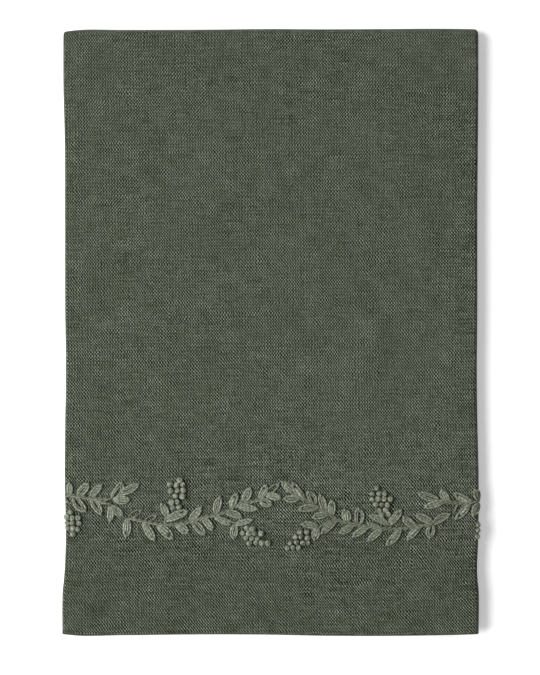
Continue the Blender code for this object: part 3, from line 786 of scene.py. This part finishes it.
def sew_leaf(threads, side, row, wander, fine):
    """A looped stitch tied at its tip, with a second loop or straight stitches inside, or thin and open."""
    foot_across, foot_along, tip_across, tip_along, width = row
    foot = Vector(place_in_garland(side, foot_across, foot_along))
    tip = Vector(place_in_garland(side, tip_across, tip_along))
    tip += Vector((wander.uniform(-HAND_WANDER, HAND_WANDER), wander.uniform(-HAND_WANDER, HAND_WANDER)))
    thin = width < THIN_LEAF and fine.random() < THIN_CHANCE
    width *= wander.uniform(0.94, 1.08) * LEAF_SPREAD
    # The solid leaf's height, drawn so that the later draws stay the solids' own.
    wander.uniform(1.0, 1.25)
    axis = tip - foot
    length = axis.length
    beside = Vector((-axis.y, axis.x)).normalized()
    bow = fine.uniform(-LEAF_BOW, LEAF_BOW) * width
    looped = fine.random() < LOOPED_CHANCE
    radius = (THIN_LOOP_RADIUS if thin else LOOP_RADIUS) * fine.uniform(0.92, 1.08)

    def at(share, aside, rise):
        place = foot + axis * share + beside * (aside + bow * math.sin(math.pi * min(max(share, 0), 1)))
        return place.x, place.y, rise + fine.uniform(-THREAD_WANDER, THREAD_WANDER)

    lean = fine.uniform(-LEAF_LEAN, LEAF_LEAN)
    top = radius * fine.uniform(0.85, 1.1)
    end = 1 - 0.8 * radius / length
    loop = leaf_loop(at, width / 2 - radius, end, lean, top)
    threads.lay(loop, radius, flat=LEAF_FLATNESS)
    tie_leaf(threads, at, end, top + radius * 0.9, length, fine)
    inner = width - 4 * radius
    if looped and not thin:
        sew_inner_loop(threads, at, inner, end, lean, top, fine)
    elif not thin:
        sew_straight_stitches(threads, at, inner, fine)


def wind_knot(threads, across, above_hem, wander):
    """A knot: the thread wound about twice, then brought over the top and down through the middle."""
    spin = wander.uniform(0, 2 * math.pi)
    lean = wander.uniform(0, 2 * math.pi)
    size = wander.uniform(0.88, 1.12)
    oval = wander.uniform(0.82, 1.0)
    turns = wander.uniform(1.6, 2.2)
    path = []
    for step in range(KNOT_STEPS + 1):
        share = step / KNOT_STEPS
        angle = spin + turns * 2 * math.pi * share
        wind = KNOT_WIND_RADIUS * size * (1 - KNOT_NARROWING * share)
        rise = KNOT_FOOT + KNOT_CLIMB * share + KNOT_TILT * math.cos(angle - lean)
        path.append((wind * math.cos(angle), oval * wind * math.sin(angle), rise))
    last = spin + turns * 2 * math.pi
    for share, turn, rise in KNOT_PASS:
        over = share * KNOT_OVER
        path.append((over * math.cos(last + turn), over * math.sin(last + turn), rise))
    lay_rigid(threads, across, above_hem, path, KNOT_THREAD_RADIUS * size)


def lay_rigid(threads, across, above_hem, path, radius):
    """A thread whose path keeps its own shape where it sits, also on a fold."""
    flat = np.array([across, above_hem - PACK_LENGTH / 2, SHEET / 2 + SHEET_OUT])
    steps = np.array([(0, 0, 0), (1, 0, 0), (-1, 0, 0), (0, 1, 0), (0, -1, 0)]) * KNOT_PROBE
    near = folded(flat + steps)
    east = Vector(near[1] - near[2]).normalized()
    north = Vector(near[3] - near[4]).normalized()
    up = east.cross(north).normalized()
    north = up.cross(east)
    at, line = smooth_path(path, STITCH_STEP)
    middle = near[0] + line @ np.array((east, north, up))
    above = np.tile(np.array(up), (len(at), 1))
    threads.sweep(middle, above, line[:, 2], at, radius, 1.0, KNOT_LIGHT, KNOT_CREST_LIGHT)


def make_bunch(node, side, rows, out, light, wander, fine, material):
    """Knots in staggered rows, like a bunch of berries."""
    knots = Threads(light=light)
    middle = sum(row[0] for row in rows) / len(rows)
    for height, first, count in rows:
        for column in range(count):
            off_centre = (column - (count - 1) / 2) * KNOT_PITCH * (BUNCH_SPREAD - 1)
            distance = first + out + column * KNOT_PITCH + off_centre
            across, along = place_in_garland(side, distance, middle + (height - middle) * BUNCH_SPREAD)
            across = min(max(across, -KNOT_REACH), KNOT_REACH) + wander.uniform(-HAND_WANDER, HAND_WANDER)
            along += wander.uniform(-HAND_WANDER, HAND_WANDER)
            # The solid knot's height, size and turn, drawn for the same reason as a leaf's height.
            wander.uniform(1.0, 1.3)
            wander.uniform(0.93, 1.07)
            wander.uniform(0, math.pi)
            across += fine.uniform(-KNOT_WANDER, KNOT_WANDER)
            along += fine.uniform(-KNOT_WANDER, KNOT_WANDER)
            wind_knot(knots, across, along, fine)
    knots.make(f"{node}_knots", "thread", material, node)


def make_half_garland(side, label, material):
    """The stems, leaves and bunches of one half, each group standing for its own solid."""
    wander = random.Random(17 if side > 0 else 29)
    fine = random.Random(5 if side > 0 else 11)
    light = HALF_LIGHT[label]
    groups = (
        ("garland", (MAIN_STEM, BUNCH_STEM, UPPER_TWIG), MAIN_LEAVES),
        ("side_spray", (SIDE_STEM, SIDE_TWIG), SIDE_LEAVES),
    )
    for group, stems, leaves in groups:
        node = f"{label}_{group}"
        threads = Threads(light=light)
        for chart in stems:
            sew_stem(threads, side, chart[label], fine)
        for row in leaves[label]:
            sew_leaf(threads, side, row, wander, fine)
        threads.make(f"{node}_threads", "thread", material, node)
    for name, rows in BUNCHES[label].items():
        out = FOLD_BUNCH_OUT if name == "fold_bunch" else 0.0
        make_bunch(f"{label}_{name}", side, rows, out, light, wander, fine, material)


def make_hem_stitches(material):
    """The rows of small stitches that hold the hem down, on the front panel and the back one."""
    wander = random.Random(3)
    threads = Threads(lobes=3, sides=6)
    left = HEM_ROW_INSET - PACK_WIDTH / 2
    count = int((PACK_WIDTH - HEM_ROW_SHORTER) / HEM_STITCH_PITCH)
    for line, rise in HEM_ROWS:
        for stitch in range(count + 1):
            start = left + stitch * HEM_STITCH_PITCH + wander.uniform(-HEM_WANDER, HEM_WANDER)
            drift = wander.uniform(-HEM_DRIFT, HEM_DRIFT)
            path = [(start + share * HEM_STITCH, line + drift, rise - depth) for share, depth in HEM_PATH]
            threads.lay(path, HEM_THREAD_RADIUS, step=HEM_STITCH_STEP)
    threads.make("hem_stitches", "linen", material)


class Graph:
    """Small helper for a material's nodes."""

    def __init__(self, name):
        self.material = bpy.data.materials.new(name)
        self.material.use_nodes = True
        self.tree = self.material.node_tree
        self.shader = self.tree.nodes["Principled BSDF"]

    def node(self, kind, **settings):
        made = self.tree.nodes.new(kind)
        for key, value in settings.items():
            setattr(made, key, value)
        return made

    def feed(self, socket, value):
        if isinstance(value, bpy.types.NodeSocket):
            self.tree.links.new(value, socket)
        else:
            socket.default_value = value

    def math(self, operation, a, b=0.0, c=0.0):
        made = self.node("ShaderNodeMath", operation=operation)
        for socket, value in zip(made.inputs, (a, b, c)):
            self.feed(socket, value)
        return made.outputs[0]

    def combine(self, x, y, z=0.0):
        made = self.node("ShaderNodeCombineXYZ")
        for socket, value in zip(made.inputs, (x, y, z)):
            self.feed(socket, value)
        return made.outputs[0]

    def noise(self, vector, scale, detail=2.0, roughness=0.5):
        """Noise around 0, mostly from -0.5 to 0.5."""
        made = self.node("ShaderNodeTexNoise")
        self.feed(made.inputs["Vector"], vector)
        made.inputs["Scale"].default_value = scale
        made.inputs["Detail"].default_value = detail
        made.inputs["Roughness"].default_value = roughness
        return self.math("SUBTRACT", made.outputs["Fac"], 0.5)

    def cloth_noise(self, kind, across, along):
        """One kind of noise at a place on the flat cloth."""
        stretch_across, stretch_along, level, scale, detail, roughness = CLOTH_NOISE[kind]
        across = self.math("MULTIPLY", across, stretch_across)
        along = self.math("MULTIPLY", along, stretch_along)
        return self.noise(self.combine(across, along, level), scale, detail, roughness)

    def mapped(self, layer):
        """The two parts of a mapped place."""
        parts = self.node("ShaderNodeSeparateXYZ")
        self.feed(parts.inputs[0], self.node("ShaderNodeUVMap", uv_map=layer).outputs[0])
        return parts.outputs[0], parts.outputs[1]

    def tint(self, colour, tone):
        """A colour at a tone, greener in its darks."""
        shaded = self.node("ShaderNodeVectorMath", operation="MULTIPLY_ADD")
        shaded.inputs[0].default_value = colour
        self.feed(shaded.inputs[1], tone)
        shaded.inputs[2].default_value = SHADE
        made = self.node("ShaderNodeVectorMath", operation="MAXIMUM")
        self.feed(made.inputs[0], shaded.outputs[0])
        made.inputs[1].default_value = DARKEST
        return made.outputs[0]


def surface(g, colour, relief, finish):
    """Gives a material's shader its colour, its relief and its finish."""
    *levels, depth = finish
    g.feed(g.shader.inputs["Base Color"], colour)
    for name, level in zip(("Roughness", "Specular IOR Level", "Sheen Weight", "Sheen Roughness"), levels):
        g.shader.inputs[name].default_value = level
    bump = g.node("ShaderNodeBump")
    bump.inputs["Strength"].default_value = RELIEF_STRENGTH
    bump.inputs["Distance"].default_value = depth
    g.feed(bump.inputs["Height"], relief)
    g.feed(g.shader.inputs["Normal"], bump.outputs[0])
    return g.material


def thread_count(g, kind, place_mm, pitch, cloth):
    """The count of warp or weft threads up to a place, with each thread off its even spacing."""
    count = g.math("DIVIDE", place_mm, pitch * 1000)
    for reach, spacings in THREAD_STRAY.items():
        count = g.math("MULTIPLY_ADD", g.cloth_noise(f"{kind}_{reach}", *cloth), spacings, count)
    return count


def thread_over(g, cloth, warp_turn, weft_turn):
    """A check of floats, over 0 where the warp is on top, that leans one way or the other over the cloth."""
    straight = g.math("MULTIPLY", g.math("SINE", warp_turn), g.math("SINE", weft_turn))
    slanted = g.math("MULTIPLY", g.math("COSINE", warp_turn), g.math("COSINE", weft_turn))
    lean = g.math("MULTIPLY_ADD", cloth[1], LEAN_PER_MM, LEAN)
    lean = g.math("MULTIPLY_ADD", g.cloth_noise("lean", *cloth), LEAN_DRIFT, lean)
    return g.math("MULTIPLY_ADD", slanted, lean, straight)


def float_gain(g, cloth, warp, weft):
    """How pale a float is. It differs from float to float and from place to place."""
    each = g.node("ShaderNodeTexWhiteNoise", noise_dimensions="2D")
    g.feed(each.inputs["Vector"], g.combine(g.math("FLOOR", warp), g.math("FLOOR", weft)))
    gain = g.math("MULTIPLY_ADD", each.outputs["Value"], FLOAT_SPREAD, 1.0 - FLOAT_SPREAD / 2)
    drift = g.math("MULTIPLY_ADD", g.cloth_noise("gain", *cloth), GAIN_DRIFT, 1.0)
    return g.math("MULTIPLY", g.math("MULTIPLY", gain, drift), FLOAT_GAIN)


def uneven_threads(g, cloth, warp, weft):
    """Thick and thin stretches of the warp and the weft, and wide soft clouds over both."""
    across_mm, along_mm = cloth
    warp_slub = g.math("MULTIPLY", g.cloth_noise("warp_slub", warp, along_mm), WARP_SLUB)
    weft_noise = g.cloth_noise("weft_slub", across_mm, weft)
    thick = g.math("MAXIMUM", g.math("SUBTRACT", weft_noise, THICK_FROM), 0.0)
    weft_slub = g.math("MULTIPLY_ADD", thick, THICK_SLUB, g.math("MULTIPLY", weft_noise, WEFT_SLUB))
    both = g.math("ADD", warp_slub, weft_slub)
    return g.math("MULTIPLY_ADD", g.cloth_noise("cloud", *cloth), CLOUD_TONE, both)


def hem_shade(g, cloth):
    """The tone's factor for the hems and their sewn row, from the distance to the cloth's edge."""
    across_mm, along_mm = cloth
    left, right, hem, far_hem = (edge * 1000 for edge in CLOTH_EDGES)
    beside = g.math("MINIMUM", g.math("SUBTRACT", across_mm, left), g.math("SUBTRACT", right, across_mm))
    beyond = g.math("MINIMUM", g.math("SUBTRACT", along_mm, hem), g.math("SUBTRACT", far_hem, along_mm))
    inward = g.math("MINIMUM", beside, beyond)
    inward = g.math("MULTIPLY_ADD", g.cloth_noise("seam_sway", *cloth), SEAM_SWAY_MM, inward)
    near = g.math("MULTIPLY_ADD", inward, -1.0 / SHADE_RAMP_MM, SHADE_FROM_MM / SHADE_RAMP_MM)
    near = g.math("MINIMUM", g.math("MAXIMUM", near, 0.0), 1.0)
    shade = g.math("MULTIPLY_ADD", near, -HEM_SHADE, 1.0)
    # The sewn row: darker, partly from needle holes and partly as painted shade in its dip.
    off_row = g.math("ABSOLUTE", g.math("SUBTRACT", inward, HEM_DEPTH * 1000))
    row = g.math("MAXIMUM", g.math("MULTIPLY_ADD", off_row, -1.0 / SEAM_HALF_MM, SEAM_END), 0.0)
    row = g.math("MINIMUM", row, 1.0)
    patch = g.cloth_noise("seam_patch", *cloth)
    patch = g.math("MULTIPLY_ADD", patch, SEAM_SHADE * SEAM_PATCHES, -SEAM_SHADE)
    return g.math("MULTIPLY_ADD", row, patch, shade)


def linen_material():
    """Plain weave: warp floats over weft, with uneven threads, pairs of warp threads and a drifting lean."""
    g = Graph("linen_weave")
    cloth = [g.math("MULTIPLY", part, 1000 / UV_PER_METRE) for part in g.mapped("cloth")]
    warp = thread_count(g, "warp", cloth[0], WARP_PITCH, cloth)
    weft = thread_count(g, "weft", cloth[1], WEFT_PITCH, cloth)
    warp_turn = g.math("MULTIPLY", warp, math.pi)
    weft_turn = g.math("MULTIPLY", weft, math.pi)
    over = thread_over(g, cloth, warp_turn, weft_turn)
    slubs = uneven_threads(g, cloth, warp, weft)
    tone = g.math("MULTIPLY_ADD", over, float_gain(g, cloth, warp, weft), GROUND_TONE)
    pair = g.math("SINE", g.math("ADD", warp_turn, PAIR_START))
    tone = g.math("MULTIPLY_ADD", pair, PAIR_TONE, tone)
    row = g.math("SINE", g.math("ADD", weft_turn, ROW_START))
    tone = g.math("MULTIPLY_ADD", row, ROW_TONE, tone)
    tone = g.math("MULTIPLY_ADD", g.cloth_noise("fibre", *cloth), FIBRE_TONE, tone)
    tone = g.math("MAXIMUM", tone, LOWEST_TONE)
    pale = g.math("MAXIMUM", g.math("SUBTRACT", tone, PALE_FROM), 0.0)
    tone = g.math("MULTIPLY_ADD", pale, -PALE_DRAWN_BACK, tone)
    tone = g.math("MULTIPLY", tone, g.math("ADD", slubs, 1.0))
    tone = g.math("MULTIPLY", tone, hem_shade(g, cloth))
    relief = g.math("ADD", g.math("ABSOLUTE", over), slubs)
    return surface(g, g.tint(LINEN, tone), relief, LINEN_FINISH)


def thread_material(name, colour):
    """Soft stranded thread: streaks wound along it and a little sheen, with painted highlights on its
    crests, painted glints, and painted shade low down by the cloth.
    """
    g = Graph(name)
    along_mm, turn = g.mapped("thread")
    # The rise map holds each corner's painted light level, for the painted shade and highlights.
    painted_light_mm = g.mapped("rise")[0]
    painted_light_share = g.math("MULTIPLY_ADD", painted_light_mm, 1.0 / PAINTED_LIGHT_SPAN_MM, -PAINTED_SHADE_LEVEL_MM / PAINTED_LIGHT_SPAN_MM)
    painted_light_share = g.math("MINIMUM", g.math("MAXIMUM", painted_light_share, 0.0), 1.0)
    place = g.node("ShaderNodeTexCoord").outputs["Object"]
    patch = g.noise(place, PATCH_SCALE, 2.0)
    loose = g.noise(place, LOOSE_SCALE, 1.0)
    wound = g.math("MULTIPLY_ADD", along_mm, 1.0 / PLY_LENGTH_MM, turn)
    turned = g.math("MULTIPLY_ADD", loose, LOOSE_TURN, g.math("MULTIPLY", wound, 2 * math.pi))
    plies = g.math("SINE", turned)
    split = g.combine(g.math("MULTIPLY", along_mm, STRANDS_ALONG), g.math("MULTIPLY", turn, STRANDS_ROUND))
    strands = g.math("MULTIPLY", g.noise(split, 1.0, 1.0), STRAND_TONE)
    relief = g.math("MULTIPLY_ADD", plies, PLY_TONE, strands)
    # Painted glints: painted highlights where the strands' relief is high.
    glint = g.math("MAXIMUM", g.math("SUBTRACT", relief, GLINT_FROM), 0.0)
    tone = g.math("MULTIPLY_ADD", patch, PATCH_TONE, relief)
    tone = g.math("MULTIPLY_ADD", glint, GLINT_TONE, g.math("ADD", tone, THREAD_TONE))
    # Painted shade and highlight: darker where the painted light level is low, down by the cloth and on the
    # sides.
    tone = g.math("MULTIPLY", tone, g.math("MULTIPLY_ADD", painted_light_share, 1.0 - PAINTED_SHADE_TONE, PAINTED_SHADE_TONE))
    tone = g.math("MAXIMUM", tone, DARKEST_THREAD)
    return surface(g, g.tint(colour, tone), relief, THREAD_FINISH)


def make_stage():
    """A plain pale table that glows a little, a soft light from the left and an even sky."""
    scene = bpy.context.scene
    scene.view_settings.view_transform = "Standard"
    bpy.ops.mesh.primitive_plane_add(size=TABLE_SIZE, location=(0.0, 0.0, 0.0))
    floor = bpy.context.object
    floor.name = "floor"
    g = Graph("floor")
    g.shader.inputs["Base Color"].default_value = (*FLOOR, 1.0)
    g.shader.inputs["Roughness"].default_value = 1.0
    g.shader.inputs["Specular IOR Level"].default_value = 0.0
    g.shader.inputs["Emission Color"].default_value = (1.0, 1.0, 1.0, 1.0)
    g.shader.inputs["Emission Strength"].default_value = TABLE_GLOW
    floor.data.materials.append(g.material)
    world = bpy.data.worlds.new("even_sky")
    world.use_nodes = True
    background = world.node_tree.nodes["Background"]
    background.inputs["Color"].default_value = (1.0, 1.0, 1.0, 1.0)
    background.inputs["Strength"].default_value = SKY
    scene.world = world
    lamp = bpy.data.lights.new("key", "AREA")
    lamp.shape = "DISK"
    lamp.size = LIGHT_SIZE
    lamp.energy = LIGHT_POWER
    key = bpy.data.objects.new("key", lamp)
    elevation = math.radians(LIGHT_ELEVATION)
    key.location = (-LIGHT_DISTANCE * math.cos(elevation), 0.0, LIGHT_DISTANCE * math.sin(elevation))
    key.rotation_euler = (-key.location).to_track_quat("-Z", "Y").to_euler()
    scene.collection.objects.link(key)
    return floor


def make_camera():
    """Straight above the pack, framed as the photograph is."""
    data = bpy.data.cameras.new("camera")
    data.lens = LENS_MM
    data.sensor_width = SENSOR_MM
    camera = bpy.data.objects.new("camera", data)
    distance = LENS_MM / SENSOR_MM * PICTURE_HEIGHT + PICTURE_PLANE
    camera.location = (*PICTURE_CENTRE, distance)
    data.clip_end = FAR_CLIP
    bpy.context.scene.collection.objects.link(camera)
    bpy.context.scene.camera = camera


def main():
    """Sets the stage, then makes the cloth and everything that is sewn on it."""
    floor = make_stage()
    make_camera()
    cloth = make_cloth()
    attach(cloth, "root")
    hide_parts("napkin")
    thread = thread_material("embroidery_thread", THREAD)
    make_half_garland(1, "right", thread)
    make_half_garland(-1, "left", thread)
    make_hem_stitches(thread_material("sewing_thread", LINEN))


main()
